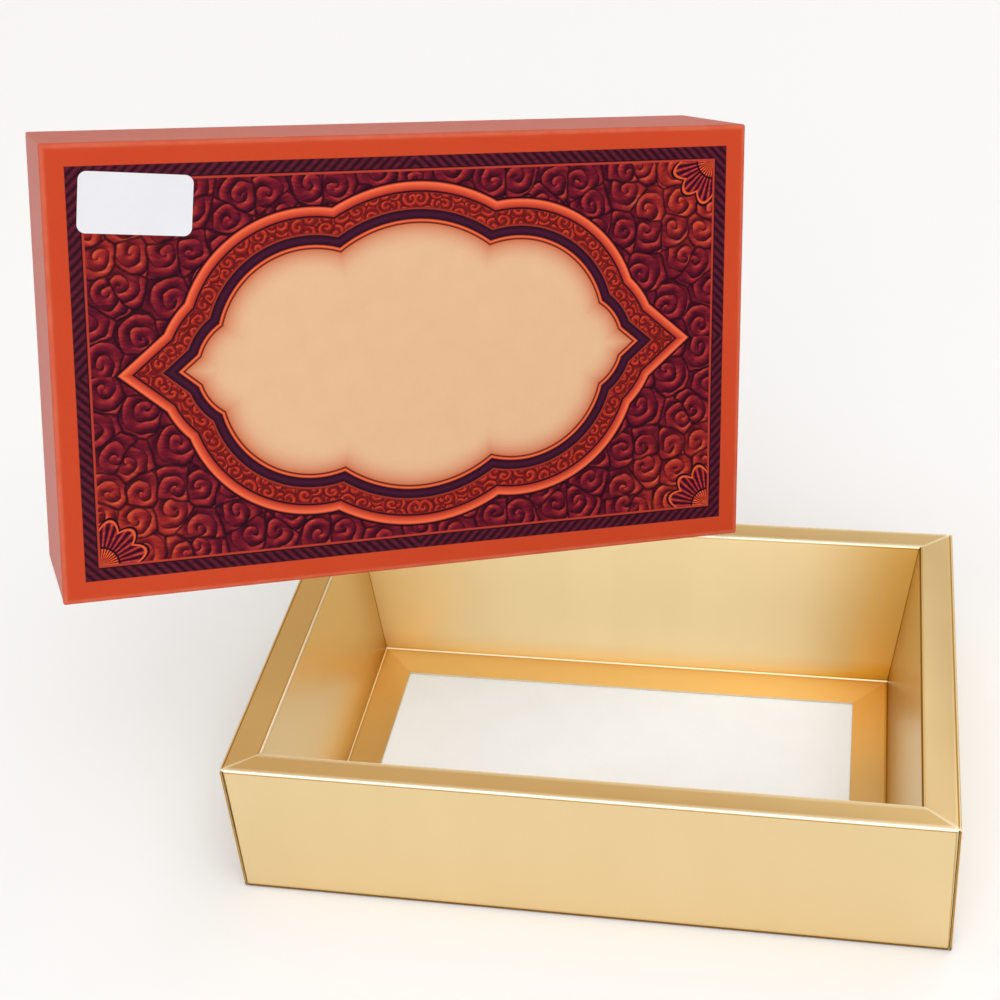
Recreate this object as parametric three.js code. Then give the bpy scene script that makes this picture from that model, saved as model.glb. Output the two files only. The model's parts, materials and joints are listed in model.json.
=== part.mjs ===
// Chocolate box: a hollow-walled tray and a lift-off lid, both folded from board. The lid is off
// and leans back on the tray's back rim. Millimetres, +Z up, origin under the middle of the tray.
import * as THREE from "three";
import { ConvexGeometry } from "three/addons/geometries/ConvexGeometry.js";

// Tray sizes
const trayLength = 200;
const trayWidth = 121;
const trayHeight = 47;
const endRim = 10; // width of the flat rims at the left and right
const sideRim = 7.5; // width of the flat rims along the front and back
const endFoot = 18; // from the outer face in to the inner wall's foot, left and right
const sideFoot = 19.5; // the same, front and back
const flangeWidth = 10.5; // from the inner wall's foot to the flange's cut edge
const trayTabLength = 14;

// Lid sizes
const lidDepth = 46;
const lidTabLength = 16;
const turnInShortfall = 1.5; // from the turned-in wall's cut edge to the face panel

// Label sizes and place on the face
const labelLength = 30.4;
const labelHeight = 16.5;
const labelThickness = 0.15;
const labelRadius = 2.3;
const labelFromLeft = 24.3; // label's middle, in from the face's left edge
const labelFromTop = 16.6; // label's middle, down from the face's upper edge
const labelSlope = THREE.MathUtils.degToRad(-4.3);

// Board and clearances
const board = 0.6;
const creaseGap = 0.2; // between two panels that meet at a crease or a mitre
const glueGap = 0.2; // between two layers that are stuck together
const tabBevel = 4; // slope of a tab's free corners
const lidClearance = 0.4; // between the lid's inside and the tray's outside
const seatGap = 0.3; // between the lid and the rim that it leans on

// How the taken-off lid leans on the back rim's outer edge
const lidLean = THREE.MathUtils.degToRad(22);
const lidTurn = THREE.MathUtils.degToRad(30);
const lidAcross = -54; // middle of its lower front edge, along the tray
const lidForward = 63; // the same, forward of the back rim's outer edge

// Heights in the tray
const rimUnderside = trayHeight - board;
const wallTop = rimUnderside - creaseGap;
const footHeight = board + glueGap;

// The lid goes over the tray: two layers of board at its ends, and three along its sides
const endLayers = 2 * board + glueGap;
const sideLayers = 3 * board + 2 * glueGap;
const lidLength = trayLength + 2 * (lidClearance + endLayers);
const lidWidth = trayWidth + 2 * (lidClearance + sideLayers);

const goldBoard = { color: 0xd8b06a, roughness: 0.34, metalness: 0.85 };
const whiteBoard = { color: 0xf0ece6, roughness: 0.8, metalness: 0 };
const redBoard = { color: 0xcd5032, roughness: 0.45, metalness: 0 };
const whitePaper = { color: 0xeeeef2, roughness: 0.6, metalness: 0 };

function addPiece(group, name, geometry, finish) {
  const mesh = new THREE.Mesh(geometry, new THREE.MeshStandardMaterial(finish));
  mesh.name = name;
  group.add(mesh);
}

// The four sides of a box. Each lies along x or along y, at one end of the other axis.
function boxSides(length, width, names) {
  const [front, back, left, right] = names;
  return {
    long: [
      { name: front, alongX: true, sign: -1, half: width / 2, reach: length / 2 },
      { name: back, alongX: true, sign: 1, half: width / 2, reach: length / 2 },
    ],
    short: [
      { name: left, alongX: false, sign: -1, half: length / 2, reach: width / 2 },
      { name: right, alongX: false, sign: 1, half: length / 2, reach: width / 2 },
    ],
  };
}

// A point on one side of a box: so far in from the outer face, so far along the side, so high.
function sidePoint(side, inward, along, height) {
  const across = side.sign * (side.half - inward);
  return side.alongX
    ? new THREE.Vector3(along, across, height)
    : new THREE.Vector3(across, along, height);
}

// A panel along one side. Each corner of its section is [inward, height, cut], where cut is how
// far short of the box's corner the panel stops at that edge, at both of its ends.
function sidePanel(side, section) {
  const points = [];
  for (const [inward, height, cut] of section) {
    const along = side.reach - cut;
    points.push(sidePoint(side, inward, along, height), sidePoint(side, inward, -along, height));
  }
  return new ConvexGeometry(points);
}

// A flat panel of one section, with square ends.
function squarePanel(side, near, far, low, high, cut) {
  return sidePanel(side, [[near, low, cut], [far, low, cut], [far, high, cut], [near, high, cut]]);
}

// A glue tab behind one side's wall, at the end that `end` (-1 or 1) names, with a bevelled free edge.
function cornerTab(side, end, near, start, length, low, high) {
  const points = [];
  for (const inward of [near, near + board]) {
    const root = end * (side.reach - start);
    const tip = end * (side.reach - start - length);
    points.push(sidePoint(side, inward, root, low), sidePoint(side, inward, root, high));
    points.push(sidePoint(side, inward, tip, low + tabBevel));
    points.push(sidePoint(side, inward, tip, high - tabBevel));
  }
  return new ConvexGeometry(points);
}

// A sloping inner wall's thickness, measured level: a leaning board is cut longer by a level line.
function levelThickness(rim, foot) {
  const run = foot - rim;
  const rise = wallTop - footHeight;
  return board * Math.hypot(1, run / rise);
}

// One side's rim, inner wall and flange. `own` holds this side's widths and `next` those of the
// sides that it meets, so that every corner is mitred along the line between the two.
function addHollowWall(group, side, own, next) {
  const ownThick = levelThickness(own.rim, own.foot);
  const nextThick = levelThickness(next.rim, next.foot);
  const rimCut = next.rim + creaseGap;
  const rim = sidePanel(side, [
    [0, rimUnderside, creaseGap],
    [own.rim, rimUnderside, rimCut],
    [own.rim, trayHeight, rimCut],
    [0, trayHeight, creaseGap],
  ]);
  const innerWall = sidePanel(side, [
    [own.rim, wallTop, next.rim + creaseGap],
    [own.rim - ownThick, wallTop, next.rim - nextThick + creaseGap],
    [own.foot - ownThick, footHeight, next.foot - nextThick + creaseGap],
    [own.foot, footHeight, next.foot + creaseGap],
  ]);
  const flangeTop = footHeight + board;
  const outerEdge = own.foot + creaseGap;
  const outerCut = next.foot + 2 * creaseGap;
  const innerEdge = own.foot + flangeWidth;
  const innerCut = next.foot + flangeWidth + creaseGap;
  const flange = sidePanel(side, [
    [outerEdge, footHeight, outerCut],
    [innerEdge, footHeight, innerCut],
    [innerEdge, flangeTop, innerCut],
    [outerEdge, flangeTop, outerCut],
  ]);
  addPiece(group, `tray_rim_${side.name}`, rim, goldBoard);
  addPiece(group, `tray_inner_wall_${side.name}`, innerWall, goldBoard);
  addPiece(group, `tray_flange_${side.name}`, flange, goldBoard);
}

function makeTray() {
  const tray = new THREE.Group();
  const sides = boxSides(trayLength, trayWidth, ["front", "back", "left", "right"]);
  const longWidths = { rim: sideRim, foot: sideFoot };
  const shortWidths = { rim: endRim, foot: endFoot };
  const inset = board + creaseGap;

  const base = new THREE.BoxGeometry(trayLength - 2 * inset, trayWidth - 2 * inset, board);
  base.translate(0, 0, board / 2);
  addPiece(tray, "tray_base", base, whiteBoard);

  // The end walls run the whole width, and the front and back walls stand between them.
  for (const side of sides.short) {
    const outer = squarePanel(side, 0, board, 0, wallTop, 0);
    addPiece(tray, `tray_outer_wall_${side.name}`, outer, goldBoard);
    addHollowWall(tray, side, shortWidths, longWidths);
  }
  for (const side of sides.long) {
    const outer = squarePanel(side, 0, board, 0, wallTop, inset);
    addPiece(tray, `tray_outer_wall_${side.name}`, outer, goldBoard);
    addHollowWall(tray, side, longWidths, shortWidths);
  }

  // The front and back walls' tabs are glued behind the end walls, inside the hollow.
  for (const side of sides.short) {
    for (const [end, corner] of [[-1, "front"], [1, "back"]]) {
      const near = board + glueGap;
      const tab = cornerTab(side, end, near, inset, trayTabLength, footHeight, wallTop - creaseGap);
      addPiece(tray, `tray_corner_tab_${corner}_${side.name}`, tab, goldBoard);
    }
  }
  return tray;
}

function roundedRectangle(length, height, radius) {
  const x = length / 2 - radius;
  const y = height / 2 - radius;
  const quarter = Math.PI / 2;
  const outline = new THREE.Shape();
  outline.absarc(x, y, radius, 0, quarter);
  outline.absarc(-x, y, radius, quarter, 2 * quarter);
  outline.absarc(-x, -y, radius, 2 * quarter, 3 * quarter);
  outline.absarc(x, -y, radius, 3 * quarter, 4 * quarter);
  return outline;
}

// The lid lies face up in its own frame, with the face's outer side at z = 0.
function makeLid() {
  const lid = new THREE.Group();
  const sides = boxSides(lidLength, lidWidth, ["lower", "upper", "left", "right"]);
  const inset = board + creaseGap;
  const turnInTop = -board - turnInShortfall;

  const face = new THREE.BoxGeometry(lidLength, lidWidth, board);
  face.translate(0, 0, -board / 2);
  addPiece(lid, "lid_face", face, redBoard);

  // The long walls run the whole length, and the end walls stand between them.
  for (const side of sides.long) {
    const outer = squarePanel(side, 0, board, -lidDepth, -inset, 0);
    const near = sideLayers - board;
    const turnedIn = squarePanel(side, near, sideLayers, -lidDepth, turnInTop, endLayers + creaseGap);
    addPiece(lid, `lid_outer_wall_${side.name}`, outer, redBoard);
    addPiece(lid, `lid_turned_in_wall_${side.name}`, turnedIn, redBoard);
    for (const [end, corner] of [[-1, "left"], [1, "right"]]) {
      const tab = cornerTab(side, end, inset, inset, lidTabLength, creaseGap - lidDepth, turnInTop);
      addPiece(lid, `lid_corner_tab_${side.name}_${corner}`, tab, redBoard);
    }
  }
  for (const side of sides.short) {
    const outer = squarePanel(side, 0, board, -lidDepth, -inset, inset);
    const near = endLayers - board;
    const turnedIn = squarePanel(side, near, endLayers, -lidDepth, turnInTop, 2 * (board + glueGap));
    addPiece(lid, `lid_outer_wall_${side.name}`, outer, redBoard);
    addPiece(lid, `lid_turned_in_wall_${side.name}`, turnedIn, redBoard);
  }

  const outline = roundedRectangle(labelLength, labelHeight, labelRadius);
  const label = new THREE.ExtrudeGeometry(outline, {
    depth: labelThickness,
    bevelEnabled: false,
    curveSegments: 8,
  });
  label.rotateZ(labelSlope);
  label.translate(labelFromLeft - lidLength / 2, lidWidth / 2 - labelFromTop, glueGap);
  addPiece(lid, "lid_label", label, whitePaper);
  return lid;
}

// Stands the lid on its lower wall, with its face forward and its open side to the back.
function standLid() {
  const lid = makeLid();
  lid.rotation.x = Math.PI / 2;
  lid.position.z = lidWidth / 2;
  const turned = new THREE.Group();
  turned.rotation.z = lidTurn;
  turned.position.set(lidAcross, -lidForward, 0);
  turned.add(lid);
  const leaning = new THREE.Group();
  leaning.rotation.x = -lidLean;
  leaning.position.set(0, trayWidth / 2, trayHeight + seatGap);
  leaning.add(turned);
  return leaning;
}

const chocolateBox = new THREE.Group();
chocolateBox.add(makeTray());
chocolateBox.add(standLid());

export default chocolateBox;
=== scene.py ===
# %% [markdown]
# # A chocolate box, folded from board
#
# The real box is two sheets of board that were cut, creased and folded: a gold tray with hollow
# walls, and a red lid that slips over it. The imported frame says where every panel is. Its flat
# plates could stay as they are, but a real fold is soft and catches the light, so this lesson works
# out each folded side as one surface with numpy and hangs it on the frame.

# %% Load the frame
import json
import math

import bpy
import numpy as np
from mathutils import Matrix, Vector

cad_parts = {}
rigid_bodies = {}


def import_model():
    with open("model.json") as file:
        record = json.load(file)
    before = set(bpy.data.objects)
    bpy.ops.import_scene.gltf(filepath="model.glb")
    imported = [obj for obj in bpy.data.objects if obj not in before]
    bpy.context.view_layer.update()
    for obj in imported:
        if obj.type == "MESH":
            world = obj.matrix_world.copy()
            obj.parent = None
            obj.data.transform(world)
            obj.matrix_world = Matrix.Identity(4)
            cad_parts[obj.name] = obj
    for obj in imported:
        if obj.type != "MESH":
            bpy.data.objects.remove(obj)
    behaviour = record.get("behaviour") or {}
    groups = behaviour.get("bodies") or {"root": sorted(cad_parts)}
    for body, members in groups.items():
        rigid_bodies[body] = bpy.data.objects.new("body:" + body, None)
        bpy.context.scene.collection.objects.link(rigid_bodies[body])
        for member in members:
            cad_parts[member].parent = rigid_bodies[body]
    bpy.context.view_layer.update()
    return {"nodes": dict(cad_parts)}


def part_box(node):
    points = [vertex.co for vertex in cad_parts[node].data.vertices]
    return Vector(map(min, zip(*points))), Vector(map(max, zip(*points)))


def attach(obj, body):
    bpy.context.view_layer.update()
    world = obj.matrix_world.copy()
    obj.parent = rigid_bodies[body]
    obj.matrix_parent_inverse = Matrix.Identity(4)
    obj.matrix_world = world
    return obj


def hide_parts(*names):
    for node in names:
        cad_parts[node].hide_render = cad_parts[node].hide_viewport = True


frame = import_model()

# %% [markdown]
# ## Measure the frame
#
# A box maker starts from a die line, the plan of cuts and creases. Here the frame is the die line:
# the boxes round its panels give the tray's sizes, the widths of its rims, the feet of its sloping
# inner walls and the thickness of the board. Reading them keeps every fold where its panels are.

# %% Measure the tray
MM = 0.001


def panel_box(node):
    """Lowest and highest corner of a panel, in millimetres."""
    low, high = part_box(node)
    return np.array(low) / MM, np.array(high) / MM


board = panel_box("tray_base")[1][2]
tray_height = panel_box("tray_rim_front")[1][2]
flange_top = panel_box("tray_flange_right")[1][2]
foot_height = panel_box("tray_inner_wall_right")[0][2]
half_length = panel_box("tray_outer_wall_right")[1][0]
half_width = panel_box("tray_outer_wall_back")[1][1]
base_half = panel_box("tray_base")[1][:2]


def hollow_wall(name, axis, half):
    """How far in from the outer face one side's rim, inner wall and flange reach."""
    panels = {"rim": "rim", "foot": "inner_wall", "edge": "flange"}
    return {key: half - panel_box(f"tray_{panel}_{name}")[0][axis] for key, panel in panels.items()}


end_wall = hollow_wall("right", 0, half_length)
long_wall = hollow_wall("back", 1, half_width)
print("tray", 2 * half_length, "x", 2 * half_width, "x", tray_height, "mm; board", round(board, 3))
print("end wall", end_wall, "long wall", long_wall)

# %% [markdown]
# ## A finish is a handful of numbers
#
# Every finish here is one Principled shader. What is the same all over, such as how metallic the
# foil is, is set on the shader's own socket. What changes, such as a worn crease, is worked out by
# nodes. Writing out each node would hide the recipe, so a small class lets plain sums make them.

# %% Numbers that vary over a surface


def feed(tree, entry, value):
    """Joins a varying number to a node's entry, or sets the entry's own value."""
    if isinstance(value, Ink):
        tree.links.new(value.socket, entry)
    else:
        entry.default_value = value


class Ink:
    """A number or colour that varies over a surface. A sum with it adds a Math node."""

    def __init__(self, tree, socket):
        self.tree, self.socket = tree, socket

    def math(self, operation, *others, clamp=False):
        node = self.tree.nodes.new("ShaderNodeMath")
        node.operation, node.use_clamp = operation, clamp
        for entry, value in zip(node.inputs, (self, *others)):
            feed(self.tree, entry, value)
        return Ink(self.tree, node.outputs[0])

    def __add__(self, other):
        return self.math("ADD", other)

    def __sub__(self, other):
        return self.math("SUBTRACT", other)

    def __mul__(self, other):
        return self.math("MULTIPLY", other)

    def under(self, other):
        return self.math("MINIMUM", other)

    def over(self, other):
        return self.math("MAXIMUM", other)

    def scaled(self, factor, shift, clamp=False):
        return self.math("MULTIPLY_ADD", factor, shift, clamp=clamp)


def vector_math(place, operation, value, output="Vector"):
    """One Vector Math node on a place."""
    node = place.tree.nodes.new("ShaderNodeVectorMath")
    node.operation = operation
    feed(place.tree, node.inputs[0], place)
    if value is not None:
        feed(place.tree, node.inputs[1], value)
    return Ink(place.tree, node.outputs[output])


def parts(place):
    """The x, y and z of a place."""
    node = place.tree.nodes.new("ShaderNodeSeparateXYZ")
    feed(place.tree, node.inputs[0], place)
    return [Ink(place.tree, socket) for socket in node.outputs]


def object_place(tree):
    """Where a point of the piece is, in metres."""
    return Ink(tree, tree.nodes.new("ShaderNodeTexCoord").outputs["Object"])


def noted(tree, name, output="Fac"):
    """What a mesh has noted at its points under a name."""
    node = tree.nodes.new("ShaderNodeAttribute")
    node.attribute_name = name
    return Ink(tree, node.outputs[output])


def cloudy(place, feature, detail=2.0, output="Fac"):
    """Smooth random clouds from 0 to 1. A feature is as wide as given, in the place's own unit."""
    node = place.tree.nodes.new("ShaderNodeTexNoise")
    node.inputs["Scale"].default_value = 1 / feature
    node.inputs["Detail"].default_value = detail
    feed(place.tree, node.inputs["Vector"], place)
    return Ink(place.tree, node.outputs[output])


print("helpers for finishes are ready")

# %% [markdown]
# ### Colours that lie over one another
#
# Ink thins out, foil wears and paper has fibres, so a finish is colours laid over one another by masks.
# The colours could be typed in as plain shader values, but a maker reads them off a screen. They are
# written as screen tones here, and turned into the even light that a shader adds up.

# %% Colours


def tone(red, green, blue):
    """A colour as a screen shows it, 0 to 255, turned into the even light that shaders add up."""
    share = np.array([red, green, blue]) / 255
    light = np.where(share <= 0.04045, share / 12.92, ((share + 0.055) / 1.055) ** 2.4)
    return (*light.tolist(), 1.0)


def lay(mask, below, above):
    """Puts one colour over another where the mask is 1."""
    node = mask.tree.nodes.new("ShaderNodeMix")
    node.data_type = "RGBA"
    feed(mask.tree, node.inputs["Factor"], mask)
    feed(mask.tree, node.inputs[6], below)
    feed(mask.tree, node.inputs[7], above)
    return Ink(mask.tree, node.outputs[2])


def graded(value, stops):
    """A colour for each value from 0 to 1, blended between the stops."""
    node = value.tree.nodes.new("ShaderNodeValToRGB")
    band = node.color_ramp
    for at, _ in stops[2:]:
        band.elements.new(at)
    for element, (at, colour) in zip(band.elements, sorted(stops)):
        element.position, element.color = at, colour
    feed(value.tree, node.inputs[0], value)
    return Ink(value.tree, node.outputs["Color"])


def new_finish(name, **even):
    """A material with one Principled shader. Even values go straight to its sockets."""
    finish = bpy.data.materials.new(name)
    finish.use_nodes = True
    shader = finish.node_tree.nodes["Principled BSDF"]
    for socket, value in even.items():
        shader.inputs[socket.replace("_", " ")].default_value = value
    return finish, finish.node_tree, shader


def raise_grain(shader, heights):
    """Bumps from several heights, each (varying number, real height in metres)."""
    tree, normal = shader.id_data, None
    for height, real in heights:
        node = tree.nodes.new("ShaderNodeBump")
        node.inputs["Distance"].default_value = real
        feed(tree, node.inputs["Height"], height)
        if normal is not None:
            feed(tree, node.inputs["Normal"], normal)
        normal = Ink(tree, node.outputs["Normal"])
    feed(tree, shader.inputs["Normal"], normal)


print("cream in even light", [round(v, 3) for v in tone(236, 188, 146)])

# %% [markdown]
# ## Gold foil
#
# The tray's board carries a thin film of gold, pressed on with a satin finish. It is a metal, so its look
# comes from what it reflects, blurred. The blur changes a little in soft streaks along the board. Where a
# crease stretches the film it cracks and lets the pale board show. Shade is painted on the foil as a deeper
# tone on the flanges, the rims and in the corners, where gold is lit by gold, and as dark lines in and beside
# some folds and where the walls meet the table. A plain metal colour would look like brass plate, so clouds,
# streaks, fibres and a note of the wear and the painted shade at each point are added.

# %% Gold foil
FOIL, FOIL_LIGHT = tone(230, 204, 151), tone(237, 213, 166)
# painted shade: a deeper gold where gold is lit by gold, and a dark line in grooves and at the table
FOIL_PAINTED_SHADE, FOIL_PRESSED_AND_SHADE = tone(196, 146, 54), tone(110, 72, 14)
BARE_BOARD = tone(253, 246, 232)
STREAK_SIZE = (16, 220)  # along the side and across its folds, mm


def gold_foil():
    """Satin metal. The note "crease" is above 0 where the foil is worn pale. Below 0 it is painted shade: the
    foil deepens down to -0.5, as gold lit by gold, and from there to -1 it turns into a dark line of painted
    shade, beside a fold partly a pressed score."""
    finish, tree, shader = new_finish("gold_foil")
    place = object_place(tree)
    sheet = noted(tree, "sheet", "Vector")
    stretch = (1 / STREAK_SIZE[0], 1 / STREAK_SIZE[1], 0)
    streaks = cloudy(vector_math(sheet, "MULTIPLY", stretch), feature=1.0, detail=3)
    clouds = cloudy(place, feature=0.03)
    fibres = cloudy(place, feature=0.0005, detail=3)
    crease = noted(tree, "crease")
    worn = crease.over(0.0) * cloudy(sheet, feature=0.9, detail=3).scaled(1.1, 0.3, clamp=True)
    # painted shade below 0: first a deeper gold, then a dark line
    pressed_and_shade = (crease * -1.0).over(0.0)
    colour = lay(streaks.scaled(0.6, 0) + clouds * 0.4, FOIL, FOIL_LIGHT)
    colour = lay(pressed_and_shade.scaled(2.0, 0.0, clamp=True), colour, FOIL_PAINTED_SHADE)
    colour = lay(pressed_and_shade.scaled(2.0, -1.0, clamp=True), colour, FOIL_PRESSED_AND_SHADE)
    feed(tree, shader.inputs["Base Color"], lay(worn, colour, BARE_BOARD))
    feed(tree, shader.inputs["Metallic"], worn.scaled(-0.8, 1.0))
    feed(tree, shader.inputs["Roughness"], fibres.scaled(0.08, 0.28) + streaks * 0.08 + worn * 0.15)
    raise_grain(shader, [(clouds, 0.00006), (fibres, 0.000004)])
    return finish


gold = gold_foil()
print(gold.name, len(gold.node_tree.nodes), "nodes")

# %% [markdown]
# ## White board and its cut edge
#
# The back of the foiled sheet is plain white board, seen on the tray's floor and inside the lid. It
# is matt, with faint grey mottling and pressed fibres. A cut edge shows the board's middle, a little
# darker and rougher. Both could be one colour, but paper that is lit softly needs its fibres.

# %% White board and cut edge


def paper_board(name, light, dark, rough):
    """Matt paper: broad mottling and fine fibres, both as colour and as height."""
    finish, tree, shader = new_finish(name, Roughness=rough)
    place = object_place(tree)
    mottle = cloudy(place, feature=0.012, detail=4)
    fibres = cloudy(vector_math(place, "MULTIPLY", (1.0, 2.6, 1.6)), feature=0.0011, detail=5)
    colour = lay(mottle.scaled(0.7, 0) + fibres * 0.5, light, dark)
    feed(tree, shader.inputs["Base Color"], colour)
    raise_grain(shader, [(mottle, 0.00004), (fibres, 0.00003)])
    return finish


white_board = paper_board("white_board_reverse", tone(251, 253, 254), tone(242, 243, 243), 0.72)
cut_edge = paper_board("board_cut_edge", tone(246, 236, 214), tone(214, 198, 168), 0.85)
print(white_board.name, cut_edge.name)

# %% [markdown]
# ## Red board
#
# The lid's walls are printed orange-red and sealed with a trace of clear varnish, so they shine softly
# at a low angle. Ink on board is never quite even. Along a fold it is stretched and paler. The same
# red runs round the face, so the recipe is a function that the printed face uses again.

# %% Red board
RED, RED_DEEP = tone(192, 70, 39), tone(184, 61, 30)
RED_WORN = tone(217, 136, 110)


def red_ink(tree, place):
    """The orange-red print: two close reds in soft clouds, paler along a worn fold. Gives its specks too."""
    clouds = cloudy(place, feature=0.02, detail=3)
    specks = cloudy(place, feature=0.0008)
    ink = lay(clouds.scaled(0.6, 0) + specks * 0.4, RED, RED_DEEP)
    pale = noted(tree, "crease") * cloudy(place, feature=0.006, detail=3).scaled(0.4, 0.05, clamp=True)
    return lay(pale, ink, RED_WORN), specks


def red_board():
    """The orange-red print under its varnish, with faint waves and specks in its height."""
    finish, tree, shader = new_finish("red_board_print", Coat_Weight=0.12, Coat_Roughness=0.3,
                                      Specular_IOR_Level=0.2)
    place = object_place(tree)
    colour, specks = red_ink(tree, place)
    feed(tree, shader.inputs["Base Color"], colour)
    feed(tree, shader.inputs["Roughness"], specks.scaled(0.12, 0.38))
    raise_grain(shader, [(cloudy(place, feature=0.014), 0.00005), (specks, 0.000006)])
    return finish


red = red_board()
print(red.name, len(red.node_tree.nodes), "nodes")

# %% [markdown]
# ## The printed face: distances draw the ornament
#
# The face carries a festive print: a dark frame, a field of curls and a lobed medallion with a bare
# cream middle. A picture file could hold it, but a drawing made of distances stays sharp at any size.
# A point's distance from the medallion's outline says which of its rings the point is in. Folding the
# face into one quarter first, by dropping the signs of x and y, makes the ornament symmetric.

# %% Masks and the medallion's outline
LOBES = (((0.0, 2.0), 36.0), ((30.0, 6.0), 26.0), ((48.0, 0.0), 14.0))  # centre and radius, mm
TIP_REACH = 66.0
TIP_ANGLE = math.radians(40)
TIP_HALF_WIDTH = 5.0


def inside(distance, edge=0.0, soft=0.22):
    """1 where the distance is under the edge and 0 beyond, with a soft step between."""
    return distance.scaled(-1 / soft, edge / soft + 0.5, clamp=True)


def frame_distance(quarter, half):
    """Distance outside a rectangle: the larger of how far out the point is across and up."""
    across, up, _ = parts(quarter)
    return (across - half[0]).over(up - half[1])


def medallion_distance(quarter):
    """Distance outside the medallion: the least distance from its round lobes and its pointed tip."""
    across, up, _ = parts(quarter)
    slope = across * math.sin(TIP_ANGLE) + up * math.cos(TIP_ANGLE)
    distance = (slope - TIP_REACH * math.sin(TIP_ANGLE)).over(up - TIP_HALF_WIDTH)
    for centre, radius in LOBES:
        reach = vector_math(quarter, "DISTANCE", (*centre, 0), "Value")
        distance = distance.under(reach - radius)
    return distance


print("medallion of", len(LOBES), "lobes in each quarter, with a tip at", TIP_REACH, "mm")

# %% [markdown]
# ### Curls
#
# Scrollwork is the oldest filler of a field: curl beside curl. Drawing each by hand would take a
# table of curves. A Voronoi pattern instead splits the field into cells, each with a middle of its
# own, and an arm that winds round that middle is a spiral: the angle plus the distance over a pitch.

# %% Curls


def curls(place, cell, pitch, light):
    """One spiral in each cell: arm = angle / full turn + distance / pitch + a random start, counted
    from 0 to 1 across each winding. A winding is painted as a round ridge, so its lit side is minus the
    cosine of half a turn of the arm, times how far the way out from the middle points to the light.
    Gives the arm, the lit side, the distance from the cell's edge and a random shade."""
    tree, voronoi = place.tree, []
    for feature in ("F1", "DISTANCE_TO_EDGE"):
        node = tree.nodes.new("ShaderNodeTexVoronoi")
        node.voronoi_dimensions, node.feature = "2D", feature
        node.inputs["Scale"].default_value = 1 / cell
        node.inputs["Randomness"].default_value = 0.8
        feed(tree, node.inputs["Vector"], place)
        voronoi.append(node)
    middle = Ink(tree, voronoi[0].outputs["Position"])
    chance, start, shade = parts(Ink(tree, voronoi[0].outputs["Color"]))
    offset = vector_math(place, "SUBTRACT", middle)
    x, y, _ = parts(offset)
    hand = chance.math("GREATER_THAN", 0.5).scaled(2, -1)
    angle = y.math("ARCTAN2", x) * hand
    reach = vector_math(offset, "LENGTH", None, "Value")
    arm = (angle * (0.5 / math.pi) + reach * (1 / pitch) + start).math("FRACT")
    facing = vector_math(vector_math(offset, "NORMALIZE", None), "DOT_PRODUCT", light, "Value")
    lit = (arm * math.pi).math("COSINE") * facing * -1.0
    return arm, lit, Ink(tree, voronoi[1].outputs["Distance"]) * cell, shade


def wavering(place, feature, amount):
    """Moves each place a little, so that drawn lines waver as a hand does."""
    sway = vector_math(cloudy(place, feature, 1.0, "Color"), "SUBTRACT", (0.5, 0.5, 0.5))
    return vector_math(vector_math(sway, "MULTIPLY", (amount, amount, 0)), "ADD", place)


print("curls are ready")

# %% [markdown]
# ### Paint it as if it were carved
#
# Old ornament prints look carved: each ridge is light on one side and dark on the other, and the colour
# drifts from orange in the corners to plum along the sides. A colour ramp read by the lit side gives the
# carving, and brush strokes, which are stretched clouds, keep it from looking drawn by a machine.

# %% The printed face
PANEL_HALF = (95.6, 57.0)  # half the length and width inside the red border, mm
FIELD_HALF = (91.3, 52.7)  # and of the field of curls
FIELD_LINES = (0.6, 0.9)  # the light line round the field and the dark one round that, mm out
RINGS_REACH = 12.4  # how far the bands round the medallion reach, mm
LACE_FROM, LACE_TO = 4.6, 8.6  # where the band of fine curls lies among them, mm
LIGHT = (-0.6, 0.8, 0.0)  # the painted light comes from the upper left
GLOW_REACH = 34.0  # how far from a corner the field is still orange, mm
PLUM = ((0.0, tone(26, 3, 15)), (0.3, tone(66, 9, 27)), (0.55, tone(103, 19, 35)),
        (0.8, tone(146, 37, 41)), (1.0, tone(188, 72, 55)))
EMBER = ((0.0, tone(58, 7, 14)), (0.3, tone(120, 24, 25)), (0.55, tone(170, 47, 31)),
         (0.8, tone(203, 76, 41)), (1.0, tone(230, 121, 71)))
NIGHT = tone(30, 5, 18)  # the lines between curls and between the border's strands
FAN_PETALS, FAN_RIBS = 3, 9  # in a corner's quarter turn
FAN_REACH, FAN_BULGE, FAN_HEART = 10.5, 2.6, 4.8  # petals' notches and bulges, and the small fan, mm
FAN_LINE = 0.8  # how wide the lines round the petals are, mm
ROPE_STRANDS = 0.36  # strands of the twisted border in a millimetre, measured across and up


def carving(lit, strokes, amount=0.4):
    """From 0 in the dark to 1 in the light, with brush strokes added."""
    return (lit * amount + strokes.scaled(0.55, 0.22)).math("ADD", 0.0, clamp=True)


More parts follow.
